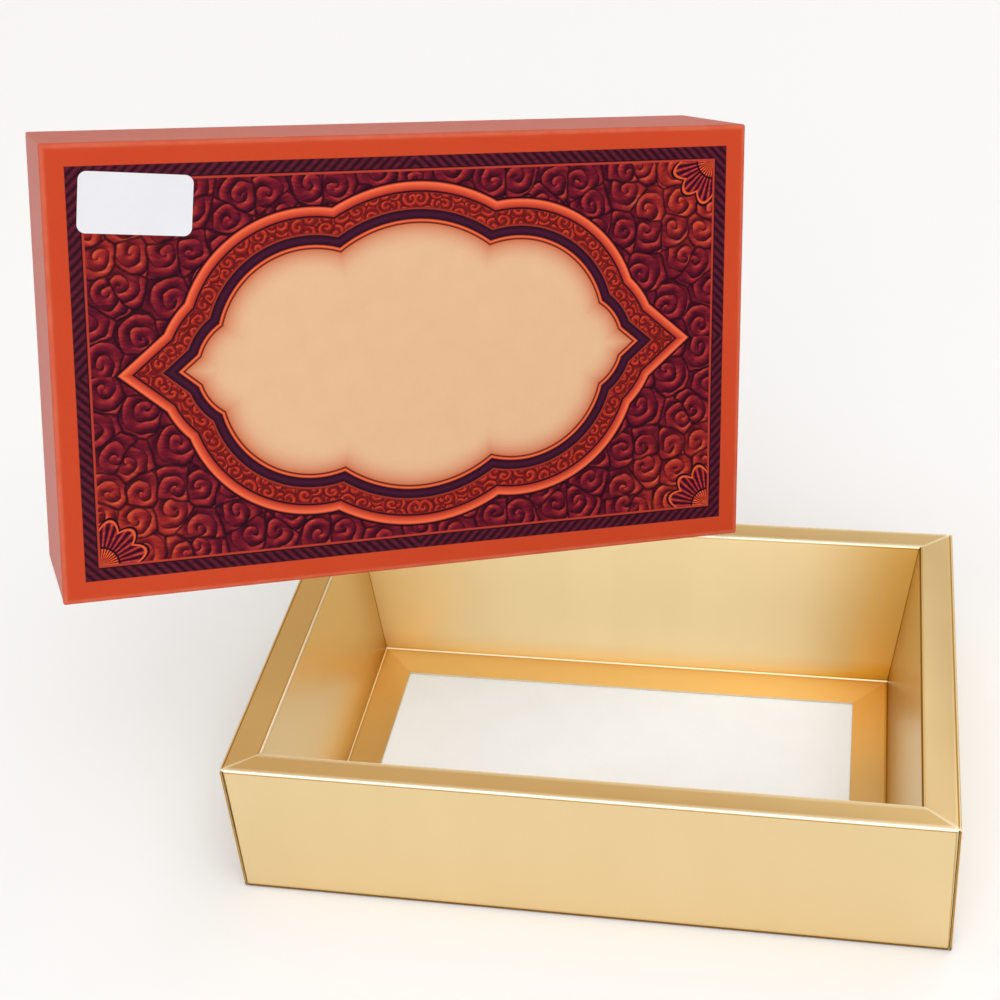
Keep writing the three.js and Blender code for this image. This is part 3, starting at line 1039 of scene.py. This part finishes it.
# %% Lid walls
LID_LAP = 2 * WALL_LAP  # how far short of the corner the turned-in walls stop, mm
LAP_START, LAP_SPAN = 0.3, 0.6  # how far in that step begins, and how wide it is, mm
LID_BOW = np.array([0.1, 0.0, 0.12])  # how far the turned-in wall, the hem and the outer wall bow, mm
LONG_EASE, END_EASE = 1.2, 0.3  # how round the ends of the long and the end walls are
TURN_WEAR = (0.35, 0.35)  # how worn the hem's two quarter turns are
CORNER_WEAR, CORNER_FADE = 0.5, 0.4  # how worn the walls' ends are, and how fast that fades, mm


def smooth_step(value):
    """Goes from 0 to 1 as 3 share squared - 2 share cubed, flat at both ends."""
    share = np.clip(value, 0, 1)
    return share * share * (3 - 2 * share)


lid_walls = (("lower", True, -1), ("upper", True, 1), ("left", False, -1), ("right", False, 1))
for side, along_x, sign in lid_walls:
    layers = long_layers if along_x else end_layers
    half, reach = (face_half[1], face_half[0]) if along_x else (face_half[0], face_half[1])
    section = fold_section([(layers, turned_in_top), (layers, lid_bottom), (0, lid_bottom), (0, -SKIRT)],
                           (layers / 2, layers / 2), TURN_WEAR, (0.0, 0.0))
    run, inward = section["run"], section["place"][:, 0]
    wall_cut = 0.0 if along_x else WALL_LAP
    limit = reach - wall_cut - (LID_LAP - wall_cut) * smooth_step((inward - LAP_START) / LAP_SPAN)
    ease = CORNER_EASE * np.clip(run - 1, 0, 1) * (LONG_EASE if along_x else END_EASE)
    visible, reverse, along = carry(section, limit, LID_BOW[run.astype(int)], ease)
    corner_wear = CORNER_WEAR * np.exp(-(((limit[:, None] - np.abs(along)) / CORNER_FADE) ** 2))
    crease = np.maximum(section["crease"][:, None], corner_wear)
    piece = close_board(f"lid_side_{side}", in_lid(placed(visible, along_x, sign, half)),
                        in_lid(placed(reverse, along_x, sign, half)), (red, cut_edge, white_board),
                        {"crease": crease})
    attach(piece, "lid")
    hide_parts(f"lid_outer_wall_{side}", f"lid_turned_in_wall_{side}")

# %% [markdown]
# ## The label
#
# The sticker is a thin rounded rectangle. It could be cut out with a boolean, but a grid does it too:
# each row is as long as the outline is wide at that height, so the grid's own edge is the outline. The
# paper then follows the slightly hollow face, and its corners lift by a hair where the glue let go.

# %% Label
LABEL_RADIUS = 2.3
LABEL_GLUE = 0.04  # the glue line under the paper, mm
CORNER_LIFT = 0.12  # how far the corners come up, mm
label_plate = lid_points("lid_label")
label_centre = (label_plate.min(0) + label_plate.max(0))[:2] / 2
spread = np.unique(np.round(label_plate[:, :2] - label_centre, 3), axis=0)
_, _, label_axes = np.linalg.svd(spread)
label_x = label_axes[0] * np.sign(label_axes[0][0])
label_y = np.array([-label_x[1], label_x[0]])
label_half = np.abs(spread @ np.stack([label_x, label_y], 1)).max(0)
label_slope = math.degrees(math.atan2(label_x[1], label_x[0]))
print("label", np.round(2 * label_half, 2), "slope", round(label_slope, 2))


def face_sag(points):
    """How far the hollow face lies below its edges at a place."""
    part = np.clip(points / fold_half, -1, 1)
    return FACE_BOW * (1 - part[..., 0] ** 2) * (1 - part[..., 1] ** 2)


def label_grid():
    """Rows of points. In the middle a row is the full width. Within a corner radius of the edge its
    height is the middle's edge plus radius x sine, and its half width is the edge less
    radius x (1 - cosine)."""
    turn = np.radians(np.linspace(0, 90, 10))[1:]
    flat_half = label_half[1] - LABEL_RADIUS
    middle = np.linspace(-flat_half, flat_half, 17)
    corner = flat_half + LABEL_RADIUS * np.sin(turn)
    height = np.concatenate([-corner[::-1], middle, corner])
    inset = LABEL_RADIUS * (1 - np.cos(turn))
    width = label_half[0] - np.concatenate([inset[::-1], 0 * middle, inset])
    across = np.outer(width, np.sin(np.linspace(-np.pi / 2, np.pi / 2, 41)))
    up = np.broadcast_to(height[:, None], across.shape)
    on_face = label_centre + across[..., None] * label_x + up[..., None] * label_y
    lift = CORNER_LIFT * np.abs(across / label_half[0] * up / label_half[1]) ** 4
    return np.concatenate([on_face, (LABEL_GLUE - face_sag(on_face) + lift)[..., None]], -1)


under = label_grid()
top = under + np.array([0, 0, np.ptp(label_plate[:, 2])])
label = close_board("lid_paper_label", in_lid(top), in_lid(under), (label_paper, cut_edge, label_paper), {})
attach(label, "lid")
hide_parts("lid_label")

# %% [markdown]
# ## The glue tabs
#
# The corner tabs are hidden between the layers, but they can be seen from the open edges. Their plates
# have the right shape already, so they stay, and only take the finish of their sheet.

# %% Glue tab finishes
for node, plate in frame["nodes"].items():
    if "corner_tab" in node:
        plate.data.materials.clear()
        plate.data.materials.append(gold if node.startswith("tray") else red)
print(sum("corner_tab" in node for node in frame["nodes"]), "tabs finished")

# %% [markdown]
# ## The floor
#
# The box was photographed on a plain white surface. A plane would do, but its corners could come into
# view, so the floor is a wide disc of rings that is a hair below the tray.

# %% Floor
FLOOR_RADIUS, FLOOR_HUB, FLOOR_DROP = 4.0, 0.05, 0.00004  # metres
FLOOR_RINGS, FLOOR_SPOKES = 24, 72
scene = bpy.context.scene
scene.view_settings.view_transform = "Standard"


def floor_disc():
    """A round floor: rings of points, each ring larger than the last by the same ratio, and a middle."""
    reach = np.geomspace(FLOOR_HUB, FLOOR_RADIUS, FLOOR_RINGS)
    turn = np.linspace(0, 2 * np.pi, FLOOR_SPOKES, endpoint=False)
    rings = np.stack([np.outer(reach, np.cos(turn)), np.outer(reach, np.sin(turn))], -1).reshape(-1, 2)
    return np.insert(np.concatenate([rings, [[0, 0]]]), 2, -FLOOR_DROP, axis=1)


points = floor_disc()
number = np.arange(FLOOR_RINGS * FLOOR_SPOKES).reshape(FLOOR_RINGS, FLOOR_SPOKES)
rings = grid_faces(np.concatenate([number, number[:, :1]], 1))[:, ::-1]
middle = np.stack([number[0], np.roll(number[0], -1), np.full(FLOOR_SPOKES, number.size)], 1)
mesh = bpy.data.meshes.new("studio_floor")
mesh.from_pydata(points.tolist(), [], rings.tolist() + middle.tolist())
mesh.shade_smooth()
studio_floor = bpy.data.objects.new("studio_floor", mesh)
scene.collection.objects.link(studio_floor)
floor_finish, _, _ = new_finish("studio_floor_paint", Base_Color=tone(242, 242, 243), Roughness=0.9)
studio_floor.data.materials.append(floor_finish)
print("floor of", len(mesh.polygons), "faces")

# %% [markdown]
# ## The room's light
#
# Foil shows whatever surrounds it, so the room is a dome of light: even, with a large share more in front
# and a small one at the back. The rims, which mirror the back, then come out deeper than the front wall.
# A picture of a real room could light it too, but three numbers are easier to change. Where the camera
# looks past the floor it sees a pale backdrop instead.

# %% Room light
ROOM_EVEN, ROOM_FRONT, ROOM_BACK = 0.2, 2.1, 0.36
ROOM_WHITE, ROOM_WARM = tone(255, 255, 255), tone(255, 238, 206)  # the light in front, and at the back
BACKDROP = tone(247, 247, 246)
room = bpy.data.worlds.new("studio_room")
room.use_nodes = True
tree = room.node_tree
direction = Ink(tree, tree.nodes.new("ShaderNodeTexCoord").outputs["Generated"])
_, depth, _ = parts(direction)
forward = (depth * -1.0).over(0.0).math("POWER", 3.0)
backward = depth.over(0.0)
seen = Ink(tree, tree.nodes.new("ShaderNodeLightPath").outputs["Is Camera Ray"])
colour = lay(backward, ROOM_WHITE, ROOM_WARM)
feed(tree, tree.nodes["Background"].inputs["Color"], lay(seen, colour, BACKDROP))
strength = forward * ROOM_FRONT + backward.scaled(ROOM_BACK, ROOM_EVEN)
feed(tree, tree.nodes["Background"].inputs["Strength"], strength * seen.scaled(-1.0, 1.0) + seen)
scene.world = room
print(room.name, len(tree.nodes), "nodes")

# %% [markdown]
# ## Soft panels
#
# A photographer hangs large soft panels round a box: one from the front right gives the light a gentle
# direction, one overhead lights the tray's floor, and those in front and behind give the foil bright
# shapes to mirror. A weak warm one at the back left warms the rims. Small lamps would make hard spots on
# the foil, so every panel is metres wide.

# %% Soft panels
PANEL_TARGET = Vector((0, 0, 0.05))


def soft_panel(name, place, size, power, tint=(1.0, 1.0, 1.0)):
    """A rectangular lamp that is turned to the box. Place and size are in metres, power in watts."""
    light = bpy.data.lights.new(name, "AREA")
    light.shape, light.size, light.size_y, light.energy = "RECTANGLE", *size, power
    light.color = tint
    lamp = bpy.data.objects.new(name, light)
    lamp.location = place
    aim = PANEL_TARGET - Vector(place)
    lamp.rotation_euler = aim.to_track_quat("-Z", "Y").to_euler()
    scene.collection.objects.link(lamp)
    print(name, power, "W,", round(aim.length, 2), "m away")


soft_panel("key_panel", (2.5, -3.0, 7.0), (6.0, 6.0), 94)
soft_panel("front_panel", (0.0, -5.2, 4.0), (4.8, 3.2), 46)
soft_panel("back_panel", (2.4, 3.6, 5.2), (4.0, 4.0), 62)
soft_panel("overhead_panel", (0.5, -0.7, 5.0), (5.5, 5.5), 135)
soft_panel("warm_panel", (-1.8, 4.2, 3.9), (3.0, 3.0), 12, (1.0, 0.62, 0.25))

# %% [markdown]
# ## What the foil may mirror
#
# In the photograph the tray and the lid seem to be lit apart: the gold shows none of the lid's red, and the
# inner back wall shows a bright room, not the shaded wall across from it. The lid could be moved away,
# but then it would not lean on the rim. Instead mirror rays pass through the lid and the tray's front
# side, and light that the lid throws back is left out too.

# %% Mirror rays
hidden = [thing for thing in scene.objects if thing.name.startswith("lid_")]
for thing in hidden:
    thing.visible_glossy = thing.visible_diffuse = False
tray_sides["front"].visible_glossy = False
print(len(hidden), "plates and pieces of the lid and the tray's front side are kept out of mirror rays")

# %% [markdown]
# ## The camera
#
# The camera was found by matching the corners of the tray and the lid to those in the photograph. It could
# be pointed by eye, but a solved place and direction keep the edges where they are in the picture. A
# small shift of the lens moves the box within the picture without turning the camera.

# %% Camera
CAMERA_PLACE = (0.07018, -0.38994, 0.40614)
CAMERA_LOOK = Vector((-0.18329, 0.81665, -0.54725)).normalized()
CAMERA_RIGHT = Vector((0.98240, 0.17251, -0.07160)).normalized()
camera_data = bpy.data.cameras.new("photo_camera")
camera_data.lens, camera_data.sensor_width = 64.8, 36
camera_data.shift_x, camera_data.shift_y = -0.025, -0.135
camera_data.clip_start = 0.01
camera = bpy.data.objects.new("photo_camera", camera_data)
up = CAMERA_RIGHT.cross(CAMERA_LOOK)
camera.matrix_world = Matrix((CAMERA_RIGHT, up, -CAMERA_LOOK)).transposed().to_4x4()
camera.location = CAMERA_PLACE
scene.collection.objects.link(camera)
scene.camera = camera
print("camera at", CAMERA_PLACE, "lens", camera_data.lens)
